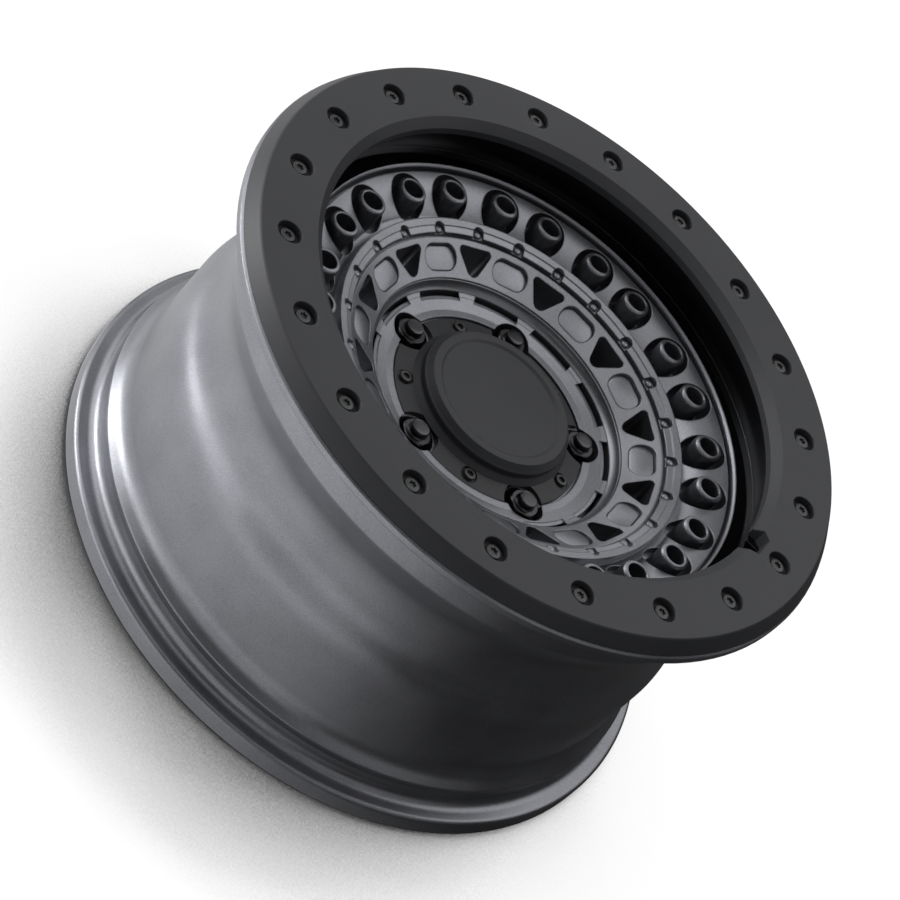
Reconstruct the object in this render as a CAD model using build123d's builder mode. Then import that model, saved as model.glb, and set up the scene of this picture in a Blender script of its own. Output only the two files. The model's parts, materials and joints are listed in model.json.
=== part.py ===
from build123d import *
import math
import os

# An off-road wheel, 17 x 8.5 inches, cast in one piece, with a ring bolted to its front flange.
# All sizes are in millimetres. The wheel lies on its rear flange, its axis is Z and its face looks up.
# The origin is the centre of the hub mounting face. A depth is measured down from the ring's front face.

# The wheel's standard sizes
bead_seat_radius = 218.3
flange_spacing = 215.9
bolt_circle_radius = 75.0
lug_count = 5
lug_phase = 18.0
centre_bore_radius = 55.05
stud_hole_radius = 7.5
face_height = 128.6

# The ring on the front flange
ring_thickness = 11.4
ring_margin = 1.1
ring_edge_round = 1.0
ring_side_taper = 6.1
ring_foot_chamfer = 0.8
ring_inner_reach = 27.0
ring_bevel_width = 6.3
ring_bevel_depth = 5.9
counterbore_radius = 8.9
counterbore_depth = 5.8
notch_angle = 198.0
notch_reach = 6.3
notch_half_width = 9.5
notch_taper = 3.0
notch_corner = 1.8

# The valve's recess under the notch, and its slanting hole
valve_recess_depth = 14.0
valve_recess_width = 11.4
valve_hole_radius = 5.75
valve_mouth_inset = 28.0
valve_slant = 35.0

# The ring's screws
screw_inset = 20.8
screw_count = 20
screw_head_radius = 5.4
screw_head_height = 3.2
screw_socket_radius = 2.6
screw_socket_depth = 1.5
screw_shank_radius = 3.0
screw_length = 20.0
screw_fit = 0.05
screw_play = 0.4

# The barrel's outside
lip_height = 17.7
lip_thickness = 9.3
lip_edge = 6.2
front_seat_width = 27.4
step_width = 2.6
step_height = 1.1
well_drop = 17.9
front_well_slope = 33.0
well_floor_width = 35.0
rear_well_slope = 20.0
rear_barrel_drop = 7.6
rear_barrel_length = 68.6
ramp_length = 9.7
hump_height = 1.5
hump_width = 6.4
seat_corner = 6.0
rear_lip_height = 15.8
rear_lip_length = 14.6
rear_seat_bevel = 4.5
rear_lip_bevel = 3.6
rear_foot_bevel = 1.8
well_front_round = 60.0
well_rear_round = 40.0
knee_round = 20.0

# The barrel's inside
wall = 9.4
rear_foot_width = 5.5
front_land_inset = 1.2

# The dish between the ring and the face
dish_reach = 14.8
dish_depth = 44.1
dish_corner = 4.8
rib_width = 1.8
rib_height = 4.0

# The plate that carries the bosses
boss_circle_radius = 156.7
plate_outer_width = 16.4
plate_inner_width = 12.4
plate_depth = 44.6
plate_middle_fall = 5.1
plate_fall = 13.4
groove_width = 1.9
groove_depth = 5.6

# The bosses, in twelve pairs
pair_count = 12
pair_phase = 18.0
boss_spread = 14.0
boss_mouth_depth = 42.4
boss_radius = 10.7
boss_lip_taper = 1.2
boss_lip_length = 3.4
boss_bore_radius = 7.7
boss_bore_depth = 24.0
recess_radius = 15.4
recess_depth = 21.8

# The middle ring with its notches
middle_ring_gap = 6.2
middle_ring_depth = 50.7
middle_band_width = 5.6
middle_band_fall = 1.1
middle_step = 0.8
middle_bevel_width = 4.6
middle_bevel_fall = 1.6
tooth_count = 24
tooth_phase = 3.0
tooth_inset = 7.2
tooth_radius = 4.35
tooth_depth = 5.6

# The web plate with its pockets and triangular windows
web_depth = 57.3
web_fall = 13.1
web_inner_radius = 101.3
web_groove_width = 1.4
web_groove_depth = 1.6
web_margin = 4.0
pocket_width = 28.5
pocket_corner = 8.0
pocket_outer_depth = 4.5
pocket_inner_depth = 0.6
window_phase = 3.0
window_length = 23.0
window_half_width = 15.9
window_corner = 3.0
window_tip_round = 6.0

# The hub
hub_wall_depth = 8.3
hub_wall_taper = 0.9
hub_face_width = 17.4
hub_face_fall = 4.1
cap_seat_depth = 3.4
slot_width = 36.0
slot_reach = 9.3
slot_ledge_width = 2.9
slot_ledge_depth = 3.0
slot_depth = 15.0
lug_pocket_radius = 14.7
lug_seat_depth = 104.0
lug_cone_radius = 11.0
lug_cone_angle = 60.0
hub_pad_radius = 93.0
back_thickness = 12.0

# The centre cap
cap_flange_reach = 0.8
cap_clearance = 1.6
cap_flange_thickness = 2.4
cap_flange_rise = 2.2
cap_drum_radius = 58.5
cap_drum_height = 17.1
cap_shoulder = 4.0
cap_foot_slope = 4.0
cap_disc_radius = 46.3
cap_disc_bevel = 1.2
cap_disc_step = 0.8
cap_wall = 3.0
cap_sleeve_length = 12.0
cap_sleeve_gap = 2.4
cap_bore_step = 2.0
cap_fit = 0.2
cap_notch_clearance = 1.5

# The cap's screws
cap_screw_circle_radius = 68.0
cap_screw_phase = 54.0
cap_counterbore_radius = 6.2
cap_screw_seat = 2.2
cap_screw_head_radius = 4.5
cap_screw_head_height = 3.2
cap_screw_socket_radius = 2.6
cap_screw_socket_depth = 2.0
cap_screw_shank_radius = 2.0
cap_screw_length = 9.0

# The lug nuts
nut_tip_depth = 76.8
nut_tip_radius = 6.8
nut_tip_height = 5.5
nut_across_flats = 21.0
nut_hex_edge = 1.2
nut_seat_gap = 0.5
nut_cone_height = 6.0
nut_bore_radius = 7.1
nut_bore_depth = 22.0
nut_fit = 0.05

# Radii worked out from the sizes above
lip_radius = bead_seat_radius + lip_height
rear_lip_radius = bead_seat_radius + rear_lip_height
well_radius = bead_seat_radius - well_drop
rear_barrel_radius = bead_seat_radius - rear_barrel_drop
ring_side_radius = lip_radius - ring_margin
ring_face_radius = ring_side_radius - ring_side_taper - ring_edge_round
screw_circle_radius = ring_face_radius - screw_inset
ring_inner_radius = screw_circle_radius - ring_inner_reach
notch_outer_radius = ring_inner_radius + ring_bevel_width + notch_reach
dish_radius = ring_inner_radius + dish_reach
plate_outer_radius = boss_circle_radius + plate_outer_width
plate_inner_radius = boss_circle_radius - plate_inner_width
rib_inner_radius = plate_outer_radius + groove_width
rib_outer_radius = rib_inner_radius + rib_width
middle_ring_radius = plate_inner_radius - middle_ring_gap
middle_crease_radius = middle_ring_radius - middle_band_width
middle_inner_radius = middle_crease_radius - middle_bevel_width
tooth_circle_radius = middle_ring_radius - tooth_inset
web_outer_radius = middle_inner_radius - web_groove_width
pocket_outer_radius = web_outer_radius - web_margin
pocket_inner_radius = web_inner_radius + web_margin
hub_outer_radius = web_inner_radius - hub_wall_taper
hub_crease_radius = hub_outer_radius - hub_face_width
slot_inner_radius = hub_outer_radius - slot_reach
cap_flange_radius = bolt_circle_radius + cap_flange_reach
cap_seat_radius = cap_flange_radius + cap_clearance
cap_bore_radius = centre_bore_radius + cap_bore_step
cap_sleeve_radius = cap_bore_radius - cap_fit
boss_starts = [pair_phase + side * boss_spread / 2 for side in (-1, 1)]
nut_cone_reach = nut_seat_gap * math.tan(math.radians(lug_cone_angle / 2))
nut_cone_radius = lug_cone_radius + nut_cone_reach - nut_fit

# Depths worked out from the sizes above
flange_depth = ring_thickness + lip_thickness
front_step_depth = flange_depth + front_seat_width
well_depth = front_step_depth + step_width
well_floor_depth = well_depth + front_well_slope
well_end_depth = well_floor_depth + well_floor_width
rear_barrel_depth = well_end_depth + rear_well_slope
knee_depth = rear_barrel_depth + rear_barrel_length
hump_depth = knee_depth + ramp_length
rear_flange_depth = flange_depth + flange_spacing
wheel_depth = rear_flange_depth + rear_lip_length
middle_crease_depth = middle_ring_depth + middle_band_fall
web_end_depth = web_depth + web_fall
hub_depth = web_end_depth + hub_wall_depth
hub_crease_depth = hub_depth + hub_face_fall
cap_floor_depth = hub_crease_depth + cap_seat_depth
slot_floor_depth = hub_depth + slot_depth
hub_back_depth = slot_floor_depth + back_thickness
recess_floor_depth = boss_mouth_depth + recess_depth
plate_back_depth = recess_floor_depth + back_thickness
cap_sleeve_depth = cap_floor_depth + cap_sleeve_length
bore_step_depth = cap_sleeve_depth + cap_sleeve_gap
valve_floor_depth = ring_thickness + valve_recess_depth
cap_top_depth = cap_floor_depth - cap_drum_height
cap_foot_depth = cap_floor_depth - cap_flange_thickness - cap_flange_rise
cap_screw_seat_depth = cap_floor_depth - cap_screw_seat
nut_shoulder_depth = nut_tip_depth + nut_tip_height
nut_base_depth = lug_seat_depth - nut_seat_gap


def at(radius, depth):
    """A point of a section through the axis, from its radius and its depth."""
    return (radius, face_height - depth)


def level(depth):
    """The plane across the axis at this depth."""
    return Plane.XY.offset(face_height - depth)


# A band that follows the web plate's cone, cut down to the twelve pockets
with BuildPart() as pocket_cutter:
    with BuildSketch(Plane.XZ):
        with BuildLine():
            Polyline(
                at(web_outer_radius, web_depth - web_fall),
                at(web_outer_radius, web_depth + pocket_outer_depth),
                at(web_inner_radius, web_end_depth + pocket_inner_depth),
                at(web_inner_radius, web_depth - web_fall),
                close=True,
            )
        make_face()
    revolve(axis=Axis.Z)
    with BuildSketch(level(web_end_depth + web_fall)):
        with PolarLocations((pocket_outer_radius + pocket_inner_radius) / 2, pair_count, pair_phase):
            RectangleRounded(pocket_outer_radius - pocket_inner_radius, pocket_width, pocket_corner)
    extrude(amount=web_fall * 4, mode=Mode.INTERSECT)

# A stepped groove at the hub's foot, cut down to the twelve slots
with BuildPart() as slot_cutter:
    with BuildSketch(Plane.XZ):
        with BuildLine():
            Polyline(
                at(hub_outer_radius, hub_depth - slot_ledge_depth),
                at(hub_outer_radius, slot_floor_depth),
                at(slot_inner_radius + slot_ledge_width, slot_floor_depth),
                at(slot_inner_radius + slot_ledge_width, hub_depth + slot_ledge_depth),
                at(slot_inner_radius, hub_depth + slot_ledge_depth),
                at(slot_inner_radius, hub_depth - slot_ledge_depth),
                close=True,
            )
        make_face()
    revolve(axis=Axis.Z)
    with BuildSketch(level(slot_floor_depth)):
        with PolarLocations(hub_outer_radius, pair_count, pair_phase):
            Rectangle(slot_reach * 3, slot_width)
    extrude(amount=slot_depth + slot_ledge_depth, mode=Mode.INTERSECT)

# The rim's section, once round, in stretches
front_land = [
    at(ring_inner_radius + front_land_inset, ring_thickness),
    at(ring_side_radius - ring_foot_chamfer, ring_thickness),
    at(lip_radius, ring_thickness + ring_foot_chamfer * 2),
    at(lip_radius, ring_thickness + lip_edge),
]
barrel_outside = [
    at(lip_radius - lip_edge, flange_depth),
    at(bead_seat_radius + seat_corner, flange_depth),
    at(bead_seat_radius, flange_depth + seat_corner),
    at(bead_seat_radius, front_step_depth),
    at(bead_seat_radius - step_height, well_depth),
    at(well_radius, well_floor_depth),
    at(well_radius, well_end_depth),
    at(rear_barrel_radius, rear_barrel_depth),
    at(rear_barrel_radius, knee_depth),
    at(bead_seat_radius + hump_height, hump_depth),
    at(bead_seat_radius, hump_depth + hump_width),
]
rear_flange = [
    at(bead_seat_radius, rear_flange_depth),
    at(rear_lip_radius, rear_flange_depth),
    at(rear_lip_radius, wheel_depth),
    at(rear_lip_radius - rear_foot_width, wheel_depth),
    at(bead_seat_radius - wall, rear_flange_depth),
]
barrel_inside = [
    at(rear_barrel_radius - wall, knee_depth),
    at(rear_barrel_radius - wall, rear_barrel_depth),
    at(well_radius - wall, well_end_depth),
    at(well_radius - wall, plate_back_depth + wall * 2),
    at(plate_outer_radius, plate_back_depth),
]
hub_back = [
    at(plate_inner_radius, plate_back_depth),
    at(hub_outer_radius, hub_back_depth),
    at(hub_pad_radius, hub_back_depth),
    at(hub_pad_radius, face_height),
    at(centre_bore_radius, face_height),
]
hub_front = [
    at(centre_bore_radius, bore_step_depth),
    at(cap_bore_radius, bore_step_depth),
    at(cap_bore_radius, cap_floor_depth),
    at(cap_seat_radius, cap_floor_depth),
    at(cap_seat_radius, hub_crease_depth),
    at(hub_crease_radius, hub_crease_depth),
    at(hub_outer_radius, hub_depth),
    at(web_inner_radius, web_end_depth),
]
middle_front = [
    at(web_outer_radius, web_depth),
    at(web_outer_radius, web_depth + web_groove_depth),
    at(middle_inner_radius, web_depth + web_groove_depth),
    at(middle_inner_radius, middle_crease_depth + middle_step + middle_bevel_fall),
    at(middle_crease_radius, middle_crease_depth + middle_step),
    at(middle_crease_radius, middle_crease_depth),
    at(middle_ring_radius, middle_ring_depth),
    at(middle_ring_radius, plate_depth + plate_fall + groove_width),
    at(plate_inner_radius, plate_depth + plate_fall),
]
dish_front = [
    at(plate_outer_radius, plate_depth),
    at(plate_outer_radius, plate_depth + groove_depth),
    at(rib_inner_radius, plate_depth + groove_depth),
    at(rib_inner_radius, dish_depth - rib_height + rib_width),
    at(rib_outer_radius, dish_depth - rib_height),
    at(rib_outer_radius, dish_depth),
    at(dish_radius - dish_corner, dish_depth + rib_width),
    at(dish_radius, dish_depth),
    front_land[0],
]

section_rounds = [
    (at(well_radius, well_floor_depth), well_front_round),
    (at(well_radius, well_end_depth), well_rear_round),
    (at(rear_barrel_radius, rear_barrel_depth), well_rear_round),
    (at(rear_barrel_radius, knee_depth), knee_round),
]
section_bevels = [
    (at(bead_seat_radius, rear_flange_depth), rear_seat_bevel),
    (at(rear_lip_radius, rear_flange_depth), rear_lip_bevel),
    (at(rear_lip_radius, wheel_depth), rear_foot_bevel),
]

with BuildPart() as rim:
    with BuildSketch(Plane.XZ):
        with BuildLine():
            Polyline(*front_land, *barrel_outside, *rear_flange, *barrel_inside)
            Polyline(barrel_inside[-1], *hub_back, *hub_front, *middle_front)
            ThreePointArc(
                middle_front[-1],
                at(boss_circle_radius, plate_depth + plate_middle_fall),
                dish_front[0],
            )
            Polyline(*dish_front)
        make_face()
        for corner_point, corner_size in section_rounds:
            fillet(vertices().sort_by_distance(corner_point)[0], corner_size)
        for corner_point, corner_size in section_bevels:
            chamfer(vertices().sort_by_distance(corner_point)[0], corner_size)
    revolve(axis=Axis.Z)

    # A round recess is sunk at each boss, and the boss stands in it with its bore
    with BuildSketch(level(recess_floor_depth)):
        for start in boss_starts:
            with PolarLocations(boss_circle_radius, pair_count, start):
                Circle(recess_radius)
    extrude(amount=recess_depth, mode=Mode.SUBTRACT)
    with BuildSketch(level(recess_floor_depth)):
        for start in boss_starts:
            with PolarLocations(boss_circle_radius, pair_count, start):
                Circle(boss_radius)
    extrude(amount=recess_depth)
    mouth_edges = edges().filter_by(
        lambda edge: edge.geom_type == GeomType.CIRCLE
        and abs(edge.radius - boss_radius) < 0.01
        and abs(edge.arc_center.Z - face_height + boss_mouth_depth) < 0.01
    )
    chamfer(mouth_edges, length=boss_lip_length, length2=boss_lip_taper)
    with BuildSketch(level(boss_mouth_depth)):
        for start in boss_starts:
            with PolarLocations(boss_circle_radius, pair_count, start):
                Circle(boss_bore_radius)
    extrude(amount=-boss_bore_depth, mode=Mode.SUBTRACT)

    # Notches with a round outer end, open towards the hub, all round the middle ring
    with BuildSketch(level(middle_ring_depth + tooth_depth)):
        with PolarLocations(tooth_circle_radius, tooth_count, tooth_phase):
            Circle(tooth_radius)
        with PolarLocations((tooth_circle_radius + web_outer_radius) / 2, tooth_count, tooth_phase):
            Rectangle(tooth_circle_radius - web_outer_radius, tooth_radius * 2)
    extrude(amount=tooth_depth, mode=Mode.SUBTRACT)

    # Pockets and triangular windows take turns round the web plate, and slots ring the hub's foot
    add(pocket_cutter.part, mode=Mode.SUBTRACT)
    with BuildSketch(level(hub_back_depth)):
        with PolarLocations(0, pair_count, window_phase):
            Polygon(
                (pocket_outer_radius - window_length, 0),
                (pocket_outer_radius, window_half_width),
                (pocket_outer_radius, -window_half_width),
                align=None,
            )
        outer_corners = vertices().filter_by(
            lambda corner: math.hypot(corner.X, corner.Y) > pocket_outer_radius
        )
        fillet(outer_corners, window_corner)
        tips = vertices().filter_by(
            lambda corner: math.hypot(corner.X, corner.Y) < pocket_inner_radius
        )
        fillet(tips, window_tip_round)
    extrude(amount=hub_back_depth - web_depth + web_fall, mode=Mode.SUBTRACT)
    add(slot_cutter.part, mode=Mode.SUBTRACT)

    # A deep pocket round each lug nut, with a cone seat and the hole for its stud
    with BuildSketch(level(lug_seat_depth)):
        with PolarLocations(bolt_circle_radius, lug_count, lug_phase):
            Circle(lug_pocket_radius)
    extrude(amount=lug_seat_depth - hub_depth, mode=Mode.SUBTRACT)
    with Locations(level(lug_seat_depth)):
        with PolarLocations(bolt_circle_radius, lug_count, lug_phase):
            CounterSinkHole(stud_hole_radius, lug_cone_radius, counter_sink_angle=lug_cone_angle)

    # The valve stands in a recess under the ring's notch, and its hole comes out in the well
    with BuildSketch(level(valve_floor_depth)):
        with PolarLocations(0, 1, notch_angle):
            with Locations((notch_outer_radius - valve_recess_width, 0)):
                Rectangle(valve_recess_width * 2, (notch_half_width - notch_taper) * 2)
    extrude(amount=valve_recess_depth, mode=Mode.SUBTRACT)
    valve_turn = math.radians(notch_angle)
    valve_radius = notch_outer_radius - valve_recess_width / 2
    valve_outward = math.sin(math.radians(valve_slant))
    valve_hole_plane = Plane(
        origin=(
            valve_radius * math.cos(valve_turn),
            valve_radius * math.sin(valve_turn),
            face_height - valve_floor_depth,
        ),
        z_dir=(
            valve_outward * math.cos(valve_turn),
            valve_outward * math.sin(valve_turn),
            -math.cos(math.radians(valve_slant)),
        ),
    )
    with BuildSketch(valve_hole_plane):
        Circle(valve_hole_radius)
    extrude(amount=valve_mouth_inset * 2, mode=Mode.SUBTRACT)

    # Blind threaded holes for the ring's screws and the cap's screws
    ring_hole_depth = counterbore_depth + screw_length - ring_thickness + screw_play
    with Locations(level(ring_thickness)):
        with PolarLocations(screw_circle_radius, screw_count):
            Hole(screw_shank_radius + screw_fit, depth=ring_hole_depth)
    cap_hole_depth = cap_screw_length - cap_screw_seat + screw_play
    with Locations(level(cap_floor_depth)):
        with PolarLocations(cap_screw_circle_radius, lug_count, cap_screw_phase):
            Hole(cap_screw_shank_radius + screw_fit, depth=cap_hole_depth)

with BuildPart() as clamp_ring:
    with BuildSketch(Plane.XZ):
        with BuildLine():
            Polyline(
                at(ring_inner_radius, ring_thickness),
                at(ring_inner_radius, ring_bevel_depth),
                at(ring_inner_radius + ring_bevel_width, 0),
                at(ring_face_radius, 0),
                at(ring_face_radius + ring_edge_round, ring_edge_round),
                at(ring_side_radius, ring_thickness - ring_foot_chamfer),
                at(ring_side_radius - ring_foot_chamfer, ring_thickness),
                close=True,
            )
        make_face()
    revolve(axis=Axis.Z)

    # A notch at the inner edge makes room for the valve
    with BuildSketch(level(ring_thickness)):
        with PolarLocations(0, 1, notch_angle):
            Polygon(
                (ring_inner_radius - ring_bevel_width, notch_half_width),
                (ring_inner_radius + ring_bevel_width, notch_half_width),
                (notch_outer_radius, notch_half_width - notch_taper),
                (notch_outer_radius, notch_taper - notch_half_width),
                (ring_inner_radius + ring_bevel_width, -notch_half_width),
                (ring_inner_radius - ring_bevel_width, -notch_half_width),
                align=None,
            )
        notch_ends = vertices().filter_by(
            lambda corner: math.hypot(corner.X, corner.Y) > notch_outer_radius - notch_reach / 2
        )
        fillet(notch_ends, notch_corner)
    extrude(amount=ring_thickness, mode=Mode.SUBTRACT)

    # Counterbored holes for the screws
    with Locations(level(0)):
        with PolarLocations(screw_circle_radius, screw_count):
            CounterBoreHole(screw_shank_radius + screw_play, counterbore_radius, counterbore_depth)

with BuildPart() as ring_screws:
    screw_seat = level(counterbore_depth)
    with BuildSketch(screw_seat):
        with PolarLocations(screw_circle_radius, screw_count):
            Circle(screw_head_radius)
    extrude(amount=screw_head_height)
    with BuildSketch(screw_seat):
        with PolarLocations(screw_circle_radius, screw_count):
            Circle(screw_shank_radius)
    extrude(amount=-screw_length)
    with BuildSketch(level(counterbore_depth - screw_head_height)):
        with PolarLocations(screw_circle_radius, screw_count):
            RegularPolygon(screw_socket_radius, 6)
    extrude(amount=-screw_socket_depth, mode=Mode.SUBTRACT)

with BuildPart() as centre_cap:
    with BuildSketch(Plane.XZ):
        with BuildLine():
            Polyline(
                at(0, cap_top_depth + cap_disc_step),
                at(cap_disc_radius, cap_top_depth + cap_disc_step),
                at(cap_disc_radius + cap_disc_bevel, cap_top_depth),
                at(cap_drum_radius - cap_shoulder, cap_top_depth),
                at(cap_drum_radius, cap_top_depth + cap_shoulder),
                at(cap_drum_radius, cap_foot_depth - cap_foot_slope),
                at(cap_drum_radius + cap_foot_slope, cap_foot_depth),
                at(cap_flange_radius, cap_floor_depth - cap_flange_thickness),
                at(cap_flange_radius, cap_floor_depth),
                at(cap_sleeve_radius, cap_floor_depth),
                at(cap_sleeve_radius, cap_sleeve_depth),
                at(cap_sleeve_radius - cap_wall, cap_sleeve_depth),
                at(cap_sleeve_radius - cap_wall, cap_top_depth + cap_disc_step + cap_wall),
                at(0, cap_top_depth + cap_disc_step + cap_wall),
                close=True,
            )
        make_face()
    revolve(axis=Axis.Z)

    # Notches let the lug nuts past the flange
    with BuildSketch(level(cap_floor_depth)):
        with PolarLocations(bolt_circle_radius, lug_count, lug_phase):
            Circle(lug_pocket_radius + cap_notch_clearance)
    extrude(amount=cap_drum_height - cap_shoulder, mode=Mode.SUBTRACT)

    # Each screw sits in a round counterbore
    with BuildSketch(level(cap_screw_seat_depth)):
        with PolarLocations(cap_screw_circle_radius, lug_count, cap_screw_phase):
            Circle(cap_counterbore_radius)
    extrude(amount=cap_drum_height - cap_shoulder, mode=Mode.SUBTRACT)
    with Locations(level(cap_screw_seat_depth)):
        with PolarLocations(cap_screw_circle_radius, lug_count, cap_screw_phase):
            Hole(cap_screw_shank_radius + screw_play)

os.makedirs("parts", exist_ok=True)
rim.part.label = "rim"
export_step(rim.part, "parts/rim.step")
clamp_ring.part.label = "clamp_ring"
export_step(clamp_ring.part, "parts/clamp_ring.step")
ring_screws.part.label = "ring_screws"
export_step(ring_screws.part, "parts/ring_screws.step")
centre_cap.part.label = "centre_cap"
export_step(centre_cap.part, "parts/centre_cap.step")

for index in range(lug_count):
    cap_screw_angle = cap_screw_phase + index * 360 / lug_count
    with BuildPart() as cap_screw:
        with BuildSketch(level(cap_screw_seat_depth)):
            with PolarLocations(cap_screw_circle_radius, 1, cap_screw_angle):
                Circle(cap_screw_head_radius)
        extrude(amount=cap_screw_head_height)
        with BuildSketch(level(cap_screw_seat_depth)):
            with PolarLocations(cap_screw_circle_radius, 1, cap_screw_angle):
                Circle(cap_screw_shank_radius)
        extrude(amount=-cap_screw_length)
        with BuildSketch(level(cap_screw_seat_depth - cap_screw_head_height)):
            with PolarLocations(cap_screw_circle_radius, 1, cap_screw_angle):
                RegularPolygon(cap_screw_socket_radius, 6)
        extrude(amount=-cap_screw_socket_depth, mode=Mode.SUBTRACT)
    cap_screw.part.label = f"cap_screw_{index + 1}"
    export_step(cap_screw.part, f"parts/cap_screw_{index + 1}.step")

for index in range(lug_count):
    nut_angle = lug_phase + index * 360 / lug_count
    with BuildPart() as lug_nut:
        # The hexagon, its round tip, and the cone that seats in the rim
        with BuildSketch(level(nut_base_depth)):
            with PolarLocations(bolt_circle_radius, 1, nut_angle):
                RegularPolygon(nut_across_flats / 2, 6, major_radius=False)
        extrude(amount=nut_base_depth - nut_shoulder_depth)
        chamfer(faces().sort_by(Axis.Z)[-1].edges(), nut_hex_edge)
        with BuildSketch(level(nut_shoulder_depth)):
            with PolarLocations(bolt_circle_radius, 1, nut_angle):
                Circle(nut_tip_radius)
        extrude(amount=nut_tip_height)
        with BuildSketch(level(nut_base_depth)):
            with PolarLocations(bolt_circle_radius, 1, nut_angle):
                Circle(nut_cone_radius)
        extrude(amount=-nut_cone_height, taper=lug_cone_angle / 2)

        # The blind threaded bore, open at the cone's end
        with BuildSketch(level(nut_base_depth + nut_cone_height)):
            with PolarLocations(bolt_circle_radius, 1, nut_angle):
                Circle(nut_bore_radius)
        extrude(amount=nut_bore_depth, mode=Mode.SUBTRACT)
    lug_nut.part.label = f"lug_nut_{index + 1}"
    export_step(lug_nut.part, f"parts/lug_nut_{index + 1}.step")
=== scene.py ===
import json
import math

import bpy
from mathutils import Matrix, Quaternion, Vector


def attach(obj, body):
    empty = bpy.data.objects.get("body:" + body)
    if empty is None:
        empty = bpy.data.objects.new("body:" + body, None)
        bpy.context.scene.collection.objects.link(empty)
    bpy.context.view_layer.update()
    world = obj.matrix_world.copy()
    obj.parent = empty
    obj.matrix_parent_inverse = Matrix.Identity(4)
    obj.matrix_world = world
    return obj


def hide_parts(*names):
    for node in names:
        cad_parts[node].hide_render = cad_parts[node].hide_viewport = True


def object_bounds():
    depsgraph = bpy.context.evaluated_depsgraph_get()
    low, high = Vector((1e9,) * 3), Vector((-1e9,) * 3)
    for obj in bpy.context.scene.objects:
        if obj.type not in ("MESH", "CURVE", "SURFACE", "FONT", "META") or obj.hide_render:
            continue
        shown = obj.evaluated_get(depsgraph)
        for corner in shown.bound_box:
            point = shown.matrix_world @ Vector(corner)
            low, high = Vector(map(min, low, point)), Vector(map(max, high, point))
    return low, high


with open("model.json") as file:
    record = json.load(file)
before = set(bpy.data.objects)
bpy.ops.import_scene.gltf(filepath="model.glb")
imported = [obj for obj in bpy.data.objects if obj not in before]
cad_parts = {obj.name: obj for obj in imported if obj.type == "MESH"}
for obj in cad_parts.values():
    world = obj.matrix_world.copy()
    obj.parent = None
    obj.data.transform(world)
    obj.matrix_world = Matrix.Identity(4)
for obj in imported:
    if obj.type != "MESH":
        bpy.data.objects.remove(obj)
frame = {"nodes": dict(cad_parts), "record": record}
nodes = frame["nodes"]
cad_low, cad_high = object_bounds()
MM = 0.001

# The camera stands where the photograph was taken from, in metres in the row frame
CAMERA_PLACE = (-0.50942, 1.54304, 1.32555)
CAMERA_TURN = (-0.47464, 0.09945, 0.41657, 0.76895)
CAMERA_LENS = 122.08
CAMERA_SENSOR = 36.0

WHITE = (1.0, 1.0, 1.0, 1.0)
WORLD_LIGHT = 0.02

# The floor is dark in itself, so that it throws little light up on the barrel. What the camera sees of it glows
# white, except in the wheel's shade. What mirrors see of it glows on one side of the wheel only: it sets in and is
# full at two distances from the axis, in metres along the direction of GLOW_SIDE
FLOOR_SIZE = 60.0
FLOOR_OWN = 0.1
GLOW_SEEN = 0.98
GLOW_MIRRORED = 1.0
GLOW_SIDE = math.radians(50.0)
GLOW_START = -0.12
GLOW_FULL = 0.38

# The shade that the camera sees has two parts. The one beside the wheel lies on the side away from CONTACT_FROM, a
# direction given by its turn and its tilt, and the other lies inside the wheel. A reach is in metres, and a span
# says which share of open sky leaves the floor black and which leaves it white
CONTACT_FROM = (math.radians(280.0), math.radians(52.0))
CONTACT_REACH = 0.16
CONTACT_SPAN = (0.5, 0.78)
INSIDE_REACH = 0.5
INSIDE_SPAN = (0.15, 0.5)
SHADE_SAMPLES = 4

# Soft boxes round the wheel: azimuth and elevation in degrees, width and height in metres, power in watts
LIGHT_DISTANCE = 2.6
LIGHTS = {
    "key": (0.0, 35.0, (1.8, 1.8), 20.0),
    "key_fill": (30.0, 55.0, (1.8, 1.8), 3.5),
    "low_side": (20.0, 10.0, (1.2, 0.4), 29.0),
    "low_left": (50.0, 8.0, (2.4, 0.9), 14.0),
    "low_front": (105.0, 14.0, (2.4, 0.9), 6.0),
    "fill": (165.0, 38.0, (2.2, 1.8), 4.5),
    "low_back": (310.0, 25.0, (1.8, 0.8), 7.0),
    "face": (252.0, 45.0, (2.6, 2.2), 20.0),
    "high": (288.0, 65.0, (2.2, 2.2), 3.5),
    "top": (0.0, 89.0, (2.2, 2.2), 10.0),
}

# Sizes of the wheel in millimetres, and phases and angles in degrees. A depth is measured down from the ring's face.
# The main sizes are the CAD's, except the ring's notch, which is wider as in the photo. Rounds, bevels and ledges
# are finer than what the CAD has. A bevel is a row of edges, each with how far in and how far down it lies
LUG_CIRCLE = 75.0
LUG_COUNT = 5
LUG_PHASE = 18.0
RING_THICKNESS = 11.4
RING_INNER = 180.0
RING_FACE = 227.8
RING_SIDE = 234.9
RING_BEVEL = (6.3, 5.9)
RING_FOOT = 0.8
RING_EDGE = 1.0
RING_ROUND = 0.5
RING_RIM_ROUND = 1.2
RING_FOOT_ROUND = 0.3
COUNTERBORE = (8.9, 5.8)
BORE_EDGE = 0.35
SCREW_CIRCLE = 207.0
SCREW_COUNT = 20
SCREW_HEAD = (5.4, 3.2)
SCREW_BEVEL = ((0.0, 0.8), (0.25, 0.3), (0.9, 0.0))
SCREW_SHANK = (3.0, 20.0)
SCREW_HOLE = 3.4
SCREW_SOCKET = (2.35, 0.4, 1.5)
SOCKET_LOBES = 6
SOCKET_EDGE = 0.3
NOTCH_ANGLE = 198.0
NOTCH_HALF_WIDTH = 12.8
NOTCH_TAPER = 3.6
NOTCH_REACH = 6.3
NOTCH_CORNER = 1.8
CUT_PAST = 1.0
BEAD_SEAT = 218.3
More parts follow.
